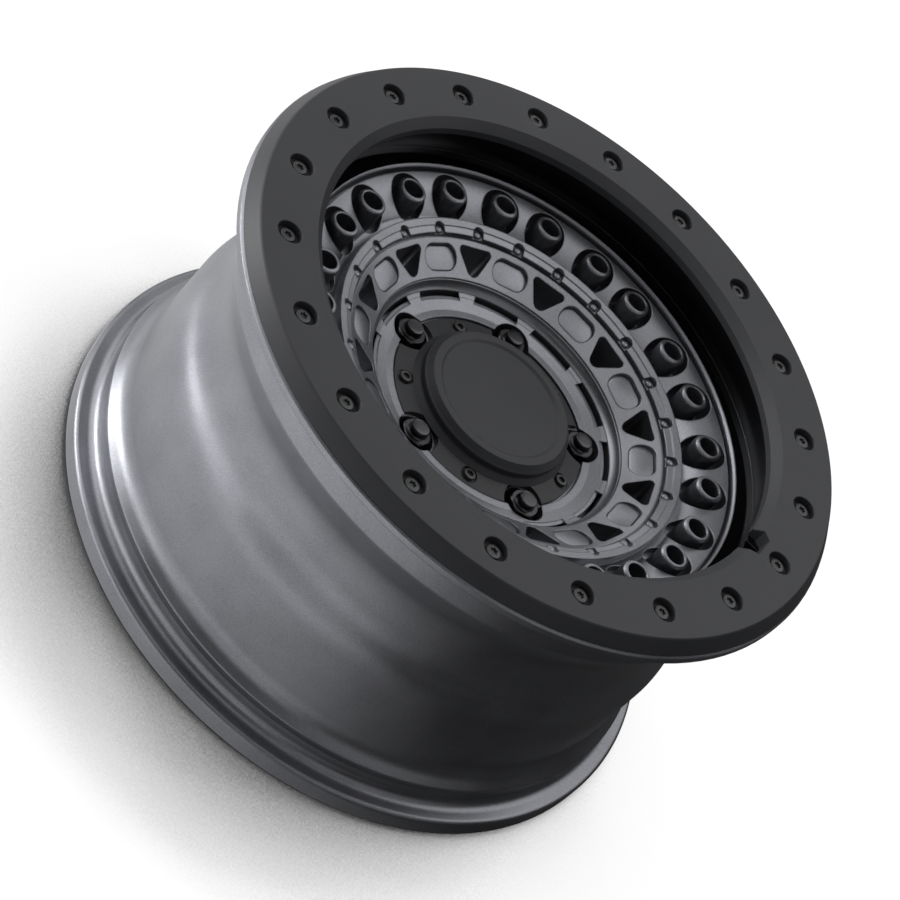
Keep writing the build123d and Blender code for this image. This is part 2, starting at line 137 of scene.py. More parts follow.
SEAT_RISE = 6.0
SEAT_ROUND = 4.0
SEAT_END = 48.1
LIP = 236.0
LIP_THICKNESS = 9.3
LIP_EDGE = 6.2
LIP_ROUND = 0.8
EDGE_ROUND = 1.2
HUMP_RISE = 1.7
HUMP_DEPTH = 217.0
HUMP_ROUND = 1.0
REAR_SEAT_START = 223.4
REAR_SEAT_ROUND = (3.0, 8.0)
REAR_FLANGE = 236.6
REAR_LIP = 234.1
REAR_LIP_INNER = 232.0
REAR_LIP_ROUND = (3.6, 1.8)
WHEEL_DEPTH = 251.2
BOSS_CIRCLE = 156.7
BOSS_PAIRS = 12
BOSS_PHASE = 18.0
BOSS_SPREAD = 14.0
BOSS_MOUTH = 42.4
BOSS_RADIUS = 10.7
BOSS_BORE = 7.7
BOSS_LIP_ROUND = 2.4
BOSS_BORE_ROUND = 0.8
BOSS_LIP_REACH = (4.0, 5.5)
PIN_CIRCLE = 130.9
PIN_COUNT = 24
PIN_PHASE = 3.0
WEB_EDGE = (101.3, 70.4)
HUB_CORNER = (100.4, 78.7)
HUB_CREASE = (83.0, 82.8)
HUB_ROUND = 10.0
HUB_COVERED = (0.5, 5.0)
SLOT_FLOOR = 94.0
SLOT_OUTSIDE = 96.6
SLOT_HALF_WIDTH = 18.0
SLOT_LEDGE = (91.8, 93.3)
SLOT_LEDGE_FALL = 1.3
SLOT_LEDGE_ROUND = (0.2, 0.6)
SLOT_LEDGE_SPARE = 0.1
POCKET_CIRCLE = 113.9
POCKET_HALF = (8.1, 13.75)
POCKET_CORNER = 7.4
POCKET_FALL = (2.3, 0.35)
POCKET_LEVELS = ((0.0, 2.6), (0.0, 0.5), (0.2, 0.15), (0.6, 0.0))
WEB_FACE = (126.5, 57.3)
CAP_TOP = 69.1
CAP_MIDDLE = 0.001
CAP_STEP = 0.8
CAP_DISC = 46.3
CAP_BEVEL = 2.3
CAP_RISE = 0.9
CAP_SHOULDER = 4.4
CAP_DRUM = 58.5
CAP_FOOT = 81.6
CAP_SLOPE = 4.0
CAP_RIM_ROUND = 0.8
CAP_EDGE_ROUND = 0.7
CAP_WALL_ROUND = 2.0
CAP_SCREW_CIRCLE = 68.0
CAP_SCREW_PHASE = 54.0
CAP_SCREW_SEAT = 84.0
CAP_SCREW_SHANK = (2.0, 9.0)
CAP_SCREW_HEAD = (4.5, 3.2)
CAP_SCREW_EDGE = ((4.5, 0.6), (4.3, 0.2), (3.9, 0.0))
CAP_SCREW_SOCKET = ((2.45, 0.0), (2.25, 0.25), (2.25, 2.0))
NUT_TIP = 76.8
NUT_TIP_RADIUS = 6.8
NUT_SHOULDER = 82.3
NUT_BASE = 103.5
NUT_FOOT = 109.5
NUT_BORE = (7.1, 87.5)
NUT_CONE = (7.8, 11.2)
NUT_COLLAR = 0.8
NUT_HALF_FLATS = 10.5
NUT_CORNER_BEVEL = ((0.0, 2.0), (0.5, 1.2), (1.2, 0.5), (2.0, 0.0))
NUT_TIP_BEVEL = ((0.0, 1.3), (0.2, 0.7), (0.6, 0.3), (1.3, 0.1), (3.0, 0.02))
NUT_TIP_FLAT = 0.8

# Corners of the barrel's outside behind the front seat: radius, depth and round
BARREL_CORNERS = (
    (217.2, 50.7, 1.2),
    (200.4, 83.7, 60.0),
    (200.4, 118.7, 40.0),
    (210.7, 138.7, 40.0),
    (210.7, 207.3, 20.0),
)

# Levels of a pin in the middle ring's notches, from its foot up: radius and depth
PIN_LEVELS = ((2.9, 56.4), (2.9, 55.0), (2.6, 54.4), (1.9, 53.9), (0.9, 53.65))

# How far a skin stands off the CAD, and how smooth the turned pieces are
PROUD = 0.12
TURN_STEPS = 256
LOOP_STEPS = 48
ARC_STEPS = 10
SHARP_ANGLE = math.radians(28.0)


def make_camera():
    """The photograph's camera, rolled as the tilted wheel asks."""
    data = bpy.data.cameras.new("camera")
    data.lens = CAMERA_LENS
    data.sensor_width = CAMERA_SENSOR
    camera = bpy.data.objects.new("camera", data)
    camera.location = CAMERA_PLACE
    camera.rotation_mode = "QUATERNION"
    camera.rotation_quaternion = Quaternion(CAMERA_TURN)
    bpy.context.scene.collection.objects.link(camera)
    bpy.context.scene.camera = camera


def soft_box(name, azimuth, elevation, size, power):
    """A soft box that looks at the wheel's middle from a direction given in degrees."""
    data = bpy.data.lights.new(name, "AREA")
    data.shape = "RECTANGLE"
    data.size, data.size_y = size
    data.energy = power
    light = bpy.data.objects.new(name, data)
    turn, rise = math.radians(azimuth), math.radians(elevation)
    towards = Vector((math.cos(rise) * math.cos(turn), math.cos(rise) * math.sin(turn), math.sin(rise)))
    light.location = towards * LIGHT_DISTANCE
    light.rotation_mode = "QUATERNION"
    light.rotation_quaternion = (-towards).to_track_quat("-Z", "Y")
    bpy.context.scene.collection.objects.link(light)


def make_world():
    """An even and very faint white world. The soft boxes give nearly all the light."""
    world = bpy.data.worlds.new("world")
    bpy.context.scene.world = world
    world.use_nodes = True
    tree = world.node_tree
    tree.nodes.clear()
    output = tree.nodes.new("ShaderNodeOutputWorld")
    light = tree.nodes.new("ShaderNodeBackground")
    light.inputs["Color"].default_value = WHITE
    light.inputs["Strength"].default_value = WORLD_LIGHT
    tree.links.new(light.outputs["Background"], output.inputs["Surface"])


def math_node(tree, operation, first, second):
    """A Math node of two values, each a socket or a number."""
    node = tree.nodes.new("ShaderNodeMath")
    node.operation = operation
    for socket, value in zip(node.inputs, (first, second)):
        if isinstance(value, float):
            socket.default_value = value
        else:
            tree.links.new(value, socket)
    return node.outputs[0]


def side_ramp(tree):
    """How bright the floor is in mirrors: dark on one side of the wheel, rising to full on the other."""
    place = tree.nodes.new("ShaderNodeTexCoord").outputs["Object"]
    along = tree.nodes.new("ShaderNodeVectorMath")
    along.operation = "DOT_PRODUCT"
    along.inputs[1].default_value = (math.cos(GLOW_SIDE), math.sin(GLOW_SIDE), 0.0)
    tree.links.new(place, along.inputs[0])
    ramp = tree.nodes.new("ShaderNodeMapRange")
    ramp.interpolation_type = "SMOOTHSTEP"
    ramp.inputs["From Min"].default_value = GLOW_START
    ramp.inputs["From Max"].default_value = GLOW_FULL
    tree.links.new(along.outputs["Value"], ramp.inputs["Value"])
    return ramp.outputs["Result"]


def shade_of(tree, occlusion, reach, span):
    """How open the floor is at one occlusion node, from 0 where pieces cover it to 1 in the open."""
    occlusion.samples = SHADE_SAMPLES
    occlusion.inputs["Distance"].default_value = reach
    shade = tree.nodes.new("ShaderNodeMapRange")
    shade.inputs["From Min"].default_value = span[0]
    shade.inputs["From Max"].default_value = span[1]
    tree.links.new(occlusion.outputs["AO"], shade.inputs["Value"])
    return shade.outputs["Result"]


def contact_shade(tree):
    """The soft shade that the camera sees on the floor, inside the wheel and on one side of it."""
    side, tilt = CONTACT_FROM
    towards = tree.nodes.new("ShaderNodeCombineXYZ")
    towards.inputs["X"].default_value = math.sin(tilt) * math.cos(side)
    towards.inputs["Y"].default_value = math.sin(tilt) * math.sin(side)
    towards.inputs["Z"].default_value = math.cos(tilt)
    beside = tree.nodes.new("ShaderNodeAmbientOcclusion")
    tree.links.new(towards.outputs["Vector"], beside.inputs["Normal"])
    above = tree.nodes.new("ShaderNodeAmbientOcclusion")
    return math_node(tree, "MULTIPLY", shade_of(tree, beside, CONTACT_REACH, CONTACT_SPAN),
                     shade_of(tree, above, INSIDE_REACH, INSIDE_SPAN))


def make_floor():
    """A plain floor under the rear flange, white to the camera except in the wheel's shade."""
    material = bpy.data.materials.new("floor_white")
    material.use_nodes = True
    tree = material.node_tree
    tree.nodes.clear()
    output = tree.nodes.new("ShaderNodeOutputMaterial")
    diffuse = tree.nodes.new("ShaderNodeBsdfDiffuse")
    diffuse.inputs["Color"].default_value = (FLOOR_OWN, FLOOR_OWN, FLOOR_OWN, 1.0)
    glow = tree.nodes.new("ShaderNodeEmission")
    glow.inputs["Color"].default_value = WHITE
    path = tree.nodes.new("ShaderNodeLightPath")
    seen = math_node(tree, "MAXIMUM", path.outputs["Is Camera Ray"], path.outputs["Is Transmission Ray"])
    seen_shaded = math_node(tree, "MULTIPLY", seen, contact_shade(tree))
    seen_glow = math_node(tree, "MULTIPLY", seen_shaded, GLOW_SEEN)
    mirrored = math_node(tree, "MULTIPLY", path.outputs["Is Glossy Ray"], side_ramp(tree))
    mirrored_glow = math_node(tree, "MULTIPLY", mirrored, GLOW_MIRRORED)
    strength = math_node(tree, "ADD", seen_glow, mirrored_glow)
    total = tree.nodes.new("ShaderNodeAddShader")
    tree.links.new(strength, glow.inputs["Strength"])
    tree.links.new(diffuse.outputs["BSDF"], total.inputs[0])
    tree.links.new(glow.outputs["Emission"], total.inputs[1])
    tree.links.new(total.outputs["Shader"], output.inputs["Surface"])
    half = FLOOR_SIZE / 2
    height = cad_low.z
    corners = [(-half, -half, height), (half, -half, height), (half, half, height), (-half, half, height)]
    mesh = bpy.data.meshes.new("floor")
    mesh.from_pydata(corners, [], [(0, 1, 2, 3)])
    mesh.materials.append(material)
    floor = bpy.data.objects.new("floor", mesh)
    bpy.context.scene.collection.objects.link(floor)


# Materials. Each finish is a dark and a light colour, mixed by fine and broad noise.
FINISHES = {
    "casting": {
        "dark": (0.205, 0.208, 0.226),
        "light": (0.315, 0.320, 0.346),
        "grain": 1500.0,
        "metallic": 0.95,
        "specular": 0.5,
        "rough": (0.32, 0.42),
        "bump": 0.10,
        "edge": 0.0014,
    },
    "ring_paint": {
        "dark": (0.033, 0.034, 0.038),
        "light": (0.045, 0.046, 0.050),
        "grain": 2200.0,
        "metallic": 0.0,
        "specular": 0.35,
        "rough": (0.42, 0.50),
        "bump": 0.05,
        "edge": 0.0006,
    },
    "screw_steel": {
        "dark": (0.055, 0.056, 0.058),
        "light": (0.095, 0.096, 0.099),
        "grain": 2600.0,
        "metallic": 0.6,
        "specular": 0.5,
        "rough": (0.34, 0.44),
        "bump": 0.04,
        "edge": 0.0002,
    },
    "cap_plastic": {
        "dark": (0.036, 0.037, 0.040),
        "light": (0.048, 0.049, 0.053),
        "grain": 2400.0,
        "metallic": 0.0,
        "specular": 0.35,
        "rough": (0.44, 0.52),
        "bump": 0.05,
        "edge": 0.0006,
    },
    "nut_steel": {
        "dark": (0.065, 0.065, 0.069),
        "light": (0.090, 0.090, 0.095),
        "grain": 2600.0,
        "metallic": 1.0,
        "specular": 0.5,
        "rough": (0.24, 0.32),
        "bump": 0.02,
        "edge": 0.0004,
    },
}

# Painted shade on the dish wall behind the ring, which darkens the casting there: the colour it darkens to, how much
# glossier the wall is, the radii between which it sets in, the radius where it ends and the height above which it
# lies, in metres
DISH_SHADE_COLOUR = (0.055, 0.056, 0.061)
DISH_GLOSS = 0.14
DISH_EDGE = (0.1768, 0.1778)
DISH_WALL = 0.1975
DISH_FOOT = 0.078

# What all finishes share
FINE_DETAIL = 2.0
BROAD_DETAIL = 3.0
BROAD_SCALE = 22.0
FINE_SHARE = 0.65
COLOUR_SPAN = (0.35, 0.65)
BEVEL_SAMPLES = 4
BUMP_DISTANCE = 0.0002

# A Mix node's colour sockets, which only their numbers tell from its other ones
MIX_FACTOR = 0
MIX_FIRST = 6
MIX_SECOND = 7
MIX_COLOUR = 2


def noise(tree, place, scale, detail):
    """A noise texture that follows the object's own coordinates."""
    texture = tree.nodes.new("ShaderNodeTexNoise")
    texture.inputs["Scale"].default_value = scale
    texture.inputs["Detail"].default_value = detail
    tree.links.new(place, texture.inputs["Vector"])
    return texture.outputs["Fac"]


def dish_shade_mask(tree, place):
    """1 on the dish wall behind the ring, where the casting's colour is darkened as painted shade and its gloss
    raised, and 0 elsewhere.
    """
    flat = tree.nodes.new("ShaderNodeVectorMath")
    flat.operation = "MULTIPLY"
    flat.inputs[1].default_value = (1.0, 1.0, 0.0)
    tree.links.new(place, flat.inputs[0])
    length = tree.nodes.new("ShaderNodeVectorMath")
    length.operation = "LENGTH"
    tree.links.new(flat.outputs["Vector"], length.inputs[0])
    split = tree.nodes.new("ShaderNodeSeparateXYZ")
    tree.links.new(place, split.inputs[0])
    ramp = tree.nodes.new("ShaderNodeMapRange")
    ramp.interpolation_type = "SMOOTHSTEP"
    ramp.inputs["From Min"].default_value = DISH_EDGE[0]
    ramp.inputs["From Max"].default_value = DISH_EDGE[1]
    tree.links.new(length.outputs["Value"], ramp.inputs["Value"])
    inside = math_node(tree, "LESS_THAN", length.outputs["Value"], DISH_WALL)
    above = math_node(tree, "GREATER_THAN", split.outputs["Z"], DISH_FOOT)
    return math_node(tree, "MULTIPLY", math_node(tree, "MULTIPLY", inside, above), ramp.outputs["Result"])


def make_finish(name, finish):
    """A satin finish with flake or powder grain, uneven gloss and softly rounded edges."""
    material = bpy.data.materials.new(name)
    material.use_nodes = True
    tree = material.node_tree
    tree.nodes.clear()
    output = tree.nodes.new("ShaderNodeOutputMaterial")
    shader = tree.nodes.new("ShaderNodeBsdfPrincipled")
    shader.inputs["Metallic"].default_value = finish["metallic"]
    shader.inputs["Specular IOR Level"].default_value = finish["specular"]
    place = tree.nodes.new("ShaderNodeTexCoord").outputs["Object"]
    fine = noise(tree, place, finish["grain"], FINE_DETAIL)
    broad = noise(tree, place, BROAD_SCALE, BROAD_DETAIL)
    blend = tree.nodes.new("ShaderNodeMix")
    blend.inputs["Factor"].default_value = FINE_SHARE
    tree.links.new(broad, blend.inputs["A"])
    tree.links.new(fine, blend.inputs["B"])
    colour = tree.nodes.new("ShaderNodeValToRGB")
    for element, position, tone in zip(colour.color_ramp.elements, COLOUR_SPAN, ("dark", "light")):
        element.position = position
        element.color = (*finish[tone], 1.0)
    tree.links.new(blend.outputs["Result"], colour.inputs["Fac"])
    shown = colour.outputs["Color"]
    rough = tree.nodes.new("ShaderNodeMapRange")
    rough.inputs["To Min"].default_value = finish["rough"][0]
    rough.inputs["To Max"].default_value = finish["rough"][1]
    tree.links.new(broad, rough.inputs["Value"])
    roughness = rough.outputs["Result"]
    # On the dish wall the casting's colour is darkened as painted shade, and its roughness is lowered
    if name == "casting":
        mask = dish_shade_mask(tree, place)
        dish_shade = tree.nodes.new("ShaderNodeMix")
        dish_shade.data_type = "RGBA"
        dish_shade.inputs[MIX_SECOND].default_value = (*DISH_SHADE_COLOUR, 1.0)
        tree.links.new(mask, dish_shade.inputs[MIX_FACTOR])
        tree.links.new(shown, dish_shade.inputs[MIX_FIRST])
        shown = dish_shade.outputs[MIX_COLOUR]
        roughness = math_node(tree, "SUBTRACT", roughness, math_node(tree, "MULTIPLY", mask, DISH_GLOSS))
    tree.links.new(shown, shader.inputs["Base Color"])
    tree.links.new(roughness, shader.inputs["Roughness"])
    edge = tree.nodes.new("ShaderNodeBevel")
    edge.samples = BEVEL_SAMPLES
    edge.inputs["Radius"].default_value = finish["edge"]
    bump = tree.nodes.new("ShaderNodeBump")
    bump.inputs["Strength"].default_value = finish["bump"]
    bump.inputs["Distance"].default_value = BUMP_DISTANCE
    tree.links.new(fine, bump.inputs["Height"])
    tree.links.new(edge.outputs["Normal"], bump.inputs["Normal"])
    tree.links.new(bump.outputs["Normal"], shader.inputs["Normal"])
    tree.links.new(shader.outputs["BSDF"], output.inputs["Surface"])
    return material


def dress_nodes(made):
    """Each CAD node takes the finish of its material slot in the record."""
    for part in frame["record"]["subparts"]:
        node = nodes[part["node"]]
        node.data.materials.clear()
        node.data.materials.append(made[part["material_slot"]])


def at(radius, depth):
    """A point of a section in metres, from its radius and its depth in millimetres."""
    return Vector((radius * MM, cad_high.z - depth * MM))


def rounded(corners):
    """A section's points, where each corner given a size is turned into an arc of that radius."""
    points = [corner for corner, size in corners]
    made = [points[0]]
    for before, (corner, size), after in zip(points, corners[1:-1], points[2:]):
        if not size:
            made.append(corner)
            continue
        back = (before - corner).normalized()
        ahead = (after - corner).normalized()
        half = back.angle(ahead) / 2
        centre = corner + (back + ahead).normalized() * size * MM / math.sin(half)
        start = corner + back * size * MM / math.tan(half) - centre
        end = corner + ahead * size * MM / math.tan(half) - centre
        for step in range(ARC_STEPS + 1):
            share = step / ARC_STEPS
            made.append(centre + start.slerp(end, share).normalized() * size * MM)
    made.append(points[-1])
    return made


def finish_mesh(name, points, faces, slot):
    """A shown piece of the wheel from a mesh, smooth except at real edges."""
    mesh = bpy.data.meshes.new(name)
    mesh.from_pydata(points, [], faces)
    return finish_piece(name, mesh, slot)


def finish_piece(name, mesh, slot):
    """Shading, material and body of a shown piece."""
    mesh.update()
    mesh.polygons.foreach_set("use_smooth", [True] * len(mesh.polygons))
    mesh.set_sharp_from_angle(angle=SHARP_ANGLE)
    mesh.materials.clear()
    mesh.materials.append(finishes[slot])
    piece = bpy.data.objects.new(name, mesh)
    bpy.context.scene.collection.objects.link(piece)
    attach(piece, "root")
    return piece


def spun(section, steps, closed=False):
    """Points and faces of a section swept once round the Z axis. It runs over the top to the outside."""
    points, faces = [], []
    count = len(section)
    for step in range(steps):
        turn = math.tau * step / steps
        for point in section:
            points.append((point.x * math.cos(turn), point.x * math.sin(turn), point.y))
        here, there = step * count, (step + 1) % steps * count
        for index in range(count if closed else count - 1):
            after = (index + 1) % count
            faces.append((here + index, here + after, there + after, there + index))
    return points, faces


def stacked(loops, open_start=True):
    """Points and faces of a solid built of level loops, closed at its last one, and at its first one if asked."""
    points = [point for level in loops for point in level]
    faces = []
    count = len(loops[0])
    for level in range(len(loops) - 1):
        low, high = level * count, (level + 1) * count
        for index in range(count):
            after = (index + 1) % count
            faces.append((low + index, low + after, high + after, high + index))
    last = (len(loops) - 1) * count
    faces.append(tuple(range(last, last + count)))
    if not open_start:
        faces.append(tuple(reversed(range(count))))
    return points, faces


def patterned(shape, places):
    """Copies of a shape's points and faces, each moved out along X and turned about the wheel's axis."""
    points, faces = [], []
    for radius, degrees in places:
        cos, sin = math.cos(math.radians(degrees)), math.sin(math.radians(degrees))
        shift = len(points)
        for x, y, z in shape[0]:
            out = x + radius * MM
            points.append((out * cos - y * sin, out * sin + y * cos, z))
        faces += [tuple(shift + corner for corner in face) for face in shape[1]]
    return points, faces


def circle_of(radius, count, phase):
    """Places evenly round the wheel's axis."""
    return [(radius, phase + index * 360 / count) for index in range(count)]


def ring_of(reach, depth):
    """A level loop at a depth, whose reach is a number or a function of the turn."""
    made = []
    for step in range(LOOP_STEPS):
        turn = math.tau * step / LOOP_STEPS
        radius = (reach(turn) if callable(reach) else reach) * MM
        made.append((radius * math.cos(turn), radius * math.sin(turn), cad_high.z - depth * MM))
    return made


def hexagon(half_flats, limit=math.inf):
    """The reach of a hexagon with a corner on the X axis, cut round at a limit."""
    sixth = math.pi / 3
    return lambda turn: min(half_flats / math.cos(turn % sixth - sixth / 2), limit)


def lobes(radius, wave):
    """The reach of a lobed outline."""
    return lambda turn: radius + wave * math.cos(SOCKET_LOBES * turn)


def barrel_skin():
    """The barrel's outside, finely turned: lip, seats, well and rear flange with their round corners."""
    flange = RING_THICKNESS + LIP_THICKNESS
    seat = BEAD_SEAT + PROUD
    rear_flange = REAR_FLANGE - PROUD
    rear_lip = REAR_LIP + PROUD
    section = rounded([
        (at(RING_SIDE - RING_FOOT, RING_THICKNESS + PROUD), 0),
        (at(LIP, RING_THICKNESS + RING_FOOT * 2), LIP_ROUND),
        (at(LIP, RING_THICKNESS + LIP_EDGE), EDGE_ROUND),
        (at(LIP - LIP_EDGE, flange + PROUD), EDGE_ROUND),
        (at(seat + SEAT_RISE, flange + PROUD), SEAT_ROUND),
        (at(seat, flange + SEAT_RISE), SEAT_ROUND),
        (at(seat, SEAT_END), EDGE_ROUND),
        *((at(radius + PROUD, depth), size) for radius, depth, size in BARREL_CORNERS),
        (at(seat + HUMP_RISE, HUMP_DEPTH), HUMP_ROUND),
        (at(seat, REAR_SEAT_START), REAR_SEAT_ROUND[0]),
        (at(seat, rear_flange), REAR_SEAT_ROUND[1]),
        (at(rear_lip, rear_flange), REAR_LIP_ROUND[0]),
        (at(rear_lip, WHEEL_DEPTH), REAR_LIP_ROUND[1]),
        (at(REAR_LIP_INNER, WHEEL_DEPTH), 0),
    ])
    finish_mesh("barrel_skin", *spun(section, TURN_STEPS), "casting")


def ring_cutter():
    """The stepped screw holes and the valve's notch, as solids that are cut from the ring."""
    bore, sunk = COUNTERBORE
    hole = stacked([
        ring_of(SCREW_HOLE, RING_THICKNESS + CUT_PAST),
        ring_of(SCREW_HOLE, sunk),
        ring_of(bore, sunk),
        ring_of(bore, BORE_EDGE),
        ring_of(bore + BORE_EDGE, 0.0),
        ring_of(bore + BORE_EDGE, -CUT_PAST),
    ], open_start=False)
    points, faces = patterned(hole, circle_of(SCREW_CIRCLE, SCREW_COUNT, 0.0))
    inside = RING_INNER - NOTCH_REACH
    bevel_end = RING_INNER + RING_BEVEL[0]
    outside = bevel_end + NOTCH_REACH
    outline = rounded([(Vector((out * MM, across * MM)), size) for out, across, size in (
        (inside, 0.0, 0),
        (inside, -NOTCH_HALF_WIDTH, 0),
        (bevel_end, -NOTCH_HALF_WIDTH, 0),
        (outside, NOTCH_TAPER - NOTCH_HALF_WIDTH, NOTCH_CORNER),
        (outside, NOTCH_HALF_WIDTH - NOTCH_TAPER, NOTCH_CORNER),
        (bevel_end, NOTCH_HALF_WIDTH, 0),
        (inside, NOTCH_HALF_WIDTH, 0),
    )])
    levels = [[(point.x, point.y, cad_high.z - depth * MM) for point in outline]
              for depth in (RING_THICKNESS + CUT_PAST, -CUT_PAST)]
    notch = patterned(stacked(levels, open_start=False), [(0.0, NOTCH_ANGLE)])
    shift = len(points)
    faces += [tuple(shift + corner for corner in face) for face in notch[1]]
    mesh = bpy.data.meshes.new("ring_cutter")
    mesh.from_pydata(points + notch[0], [], faces)
    return bpy.data.objects.new("ring_cutter", mesh)


def ring_body():
    """The clamp ring, finely turned, with its counterbored holes and the valve's notch cut in."""
    section = rounded([
        (at(RING_INNER, RING_THICKNESS), 0),
        (at(RING_INNER, RING_BEVEL[1]), RING_ROUND),
        (at(RING_INNER + RING_BEVEL[0], 0.0), RING_ROUND),
        (at(RING_FACE, 0.0), RING_RIM_ROUND),
        (at(RING_FACE + RING_EDGE, RING_EDGE), RING_ROUND),
        (at(RING_SIDE, RING_THICKNESS - RING_FOOT), RING_FOOT_ROUND),
        (at(RING_SIDE - RING_FOOT, RING_THICKNESS), 0),
    ])
    blank_mesh = bpy.data.meshes.new("ring_blank")
    points, faces = spun(section, TURN_STEPS, closed=True)
    blank_mesh.from_pydata(points, [], faces)
    blank = bpy.data.objects.new("ring_blank", blank_mesh)
    cutter = ring_cutter()
    for thing in (blank, cutter):
        bpy.context.scene.collection.objects.link(thing)
    cut = blank.modifiers.new("holes", "BOOLEAN")
    cut.operation = "DIFFERENCE"
    cut.solver = "EXACT"
    cut.object = cutter
    bpy.context.view_layer.update()
    made = bpy.data.meshes.new_from_object(blank.evaluated_get(bpy.context.evaluated_depsgraph_get()))
    made.name = "ring_body"
    for thing in (blank, cutter):
        bpy.data.objects.remove(thing)
    ring = finish_piece("ring_body", made, "ring_paint")
    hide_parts("clamp_ring")


def ring_screw_heads():
    """The ring's screws with bevelled heads and six-lobed sockets, and their shanks."""
    top = COUNTERBORE[1] - SCREW_HEAD[1]
    radius, wave, sunk = SCREW_SOCKET
    screw = stacked([
        ring_of(SCREW_SHANK[0], COUNTERBORE[1] + SCREW_SHANK[1]),
        ring_of(SCREW_SHANK[0], COUNTERBORE[1]),
        ring_of(SCREW_HEAD[0], COUNTERBORE[1]),
        *(ring_of(SCREW_HEAD[0] - inset, top + fall) for inset, fall in SCREW_BEVEL),
        ring_of(lobes(radius + SOCKET_EDGE, wave), top),
        ring_of(lobes(radius, wave), top + SOCKET_EDGE),
        ring_of(lobes(radius, wave), top + sunk),
    ], open_start=False)
    places = circle_of(SCREW_CIRCLE, SCREW_COUNT, 0.0)
    heads = finish_mesh("ring_screw_heads", *patterned(screw, places), "screw_steel")
    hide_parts("ring_screws")


def boss_lips():
    """Round lips over the mouths of the bosses."""
    section = rounded([
        (at(BOSS_BORE - PROUD, BOSS_MOUTH + BOSS_LIP_REACH[0]), 0),
        (at(BOSS_BORE - PROUD, BOSS_MOUTH - PROUD), BOSS_BORE_ROUND),
        (at(BOSS_RADIUS + PROUD, BOSS_MOUTH - PROUD), BOSS_LIP_ROUND),
        (at(BOSS_RADIUS + PROUD, BOSS_MOUTH + BOSS_LIP_REACH[1]), 0),
    ])
    places = []
    for side in (-1, 1):
        places += circle_of(BOSS_CIRCLE, BOSS_PAIRS, BOSS_PHASE + side * BOSS_SPREAD / 2)
    finish_mesh("boss_lips", *patterned(spun(section, LOOP_STEPS), places), "casting")


def notch_pins():
    """The domed pins in the middle ring's notches."""
    pin = stacked([ring_of(radius, depth) for radius, depth in PIN_LEVELS])
    places = circle_of(PIN_CIRCLE, PIN_COUNT, PIN_PHASE)
    finish_mesh("notch_pins", *patterned(pin, places), "casting")


def hub_arc():
    """The hollow round between the hub's face and the web's edge, from the inside out and up."""
    corners = [(at(radius - PROUD, depth - PROUD), size) for (radius, depth), size
               in ((HUB_CREASE, 0), (HUB_CORNER, HUB_ROUND), (WEB_EDGE, 0))]
    return rounded(corners)[1:-1]


def sector(section, half_turn):
    """Points and faces of a closed section swept over a few degrees, whose half is a function of the radius."""
    count = len(section)
    points, faces = [], []
    for step in range(ARC_STEPS + 1):
        for point in section:
            turn = half_turn(point.x / MM) * (2 * step / ARC_STEPS - 1)
            points.append((point.x * math.cos(turn), point.x * math.sin(turn), point.y))
    for step in range(ARC_STEPS):
        here, there = step * count, (step + 1) * count
        for index in range(count):
            after = (index + 1) % count
            faces.append((here + index, here + after, there + after, there + index))
    faces.append(tuple(reversed(range(count))))
    faces.append(tuple(range(ARC_STEPS * count, (ARC_STEPS + 1) * count)))
    return points, faces


def hub_round():
    """The hollow round over the hub's slots, all the way about, which closes each slot on its outside."""
    upper = [point for point in hub_arc() if point.x >= SLOT_OUTSIDE * MM]
    outside, rise = WEB_EDGE[0] + HUB_COVERED[0], HUB_COVERED[1]
    section = upper + [
        at(outside, HUB_CORNER[1] - rise),
        at(outside, SLOT_FLOOR),
        Vector((upper[0].x, at(0.0, SLOT_FLOOR).y)),
    ]
    finish_mesh("hub_round", *spun(section, TURN_STEPS, closed=True), "casting")


def hub_teeth():
    """The lower part of the hollow round, between the slots."""
    arc = hub_arc()
    lower = [point for point in arc if point.x < SLOT_OUTSIDE * MM]
    lower.append(arc[len(lower)])
    section = lower + [Vector((point.x, at(0.0, SLOT_FLOOR).y)) for point in (lower[-1], lower[0])]
    half_pitch = math.pi / BOSS_PAIRS
    tooth = sector(section, lambda radius: half_pitch - math.asin(SLOT_HALF_WIDTH / radius))
    places = circle_of(0.0, BOSS_PAIRS, BOSS_PHASE + 180 / BOSS_PAIRS)
    finish_mesh("hub_teeth", *patterned(tooth, places), "casting")


def hub_depth(radius):
    """The depth of the hub's sloping face at a radius."""
    share = (HUB_CORNER[0] - radius) / (HUB_CORNER[0] - HUB_CREASE[0])
    return HUB_CORNER[1] + share * (HUB_CREASE[1] - HUB_CORNER[1])


def slot_ledges():
    """The rounded ledge just inside each hub slot."""
    inside, outside = SLOT_LEDGE
    section = rounded([
        (at(inside, SLOT_FLOOR), 0),
        (at(inside, hub_depth(inside) + SLOT_LEDGE_FALL), SLOT_LEDGE_ROUND[0]),
        (at(outside, hub_depth(outside) + SLOT_LEDGE_FALL), SLOT_LEDGE_ROUND[1]),
        (at(outside, SLOT_FLOOR), 0),
    ])
    ledge = sector(section, lambda radius: math.asin((SLOT_HALF_WIDTH + SLOT_LEDGE_SPARE) / radius))
    places = circle_of(0.0, BOSS_PAIRS, BOSS_PHASE)
    finish_mesh("slot_ledges", *patterned(ledge, places), "casting")


def web_depth(radius):
    """The depth of the web plate's sloping face at a radius."""
    share = (WEB_FACE[0] - radius) / (WEB_FACE[0] - WEB_EDGE[0])
    return WEB_FACE[1] + share * (WEB_EDGE[1] - WEB_FACE[1])


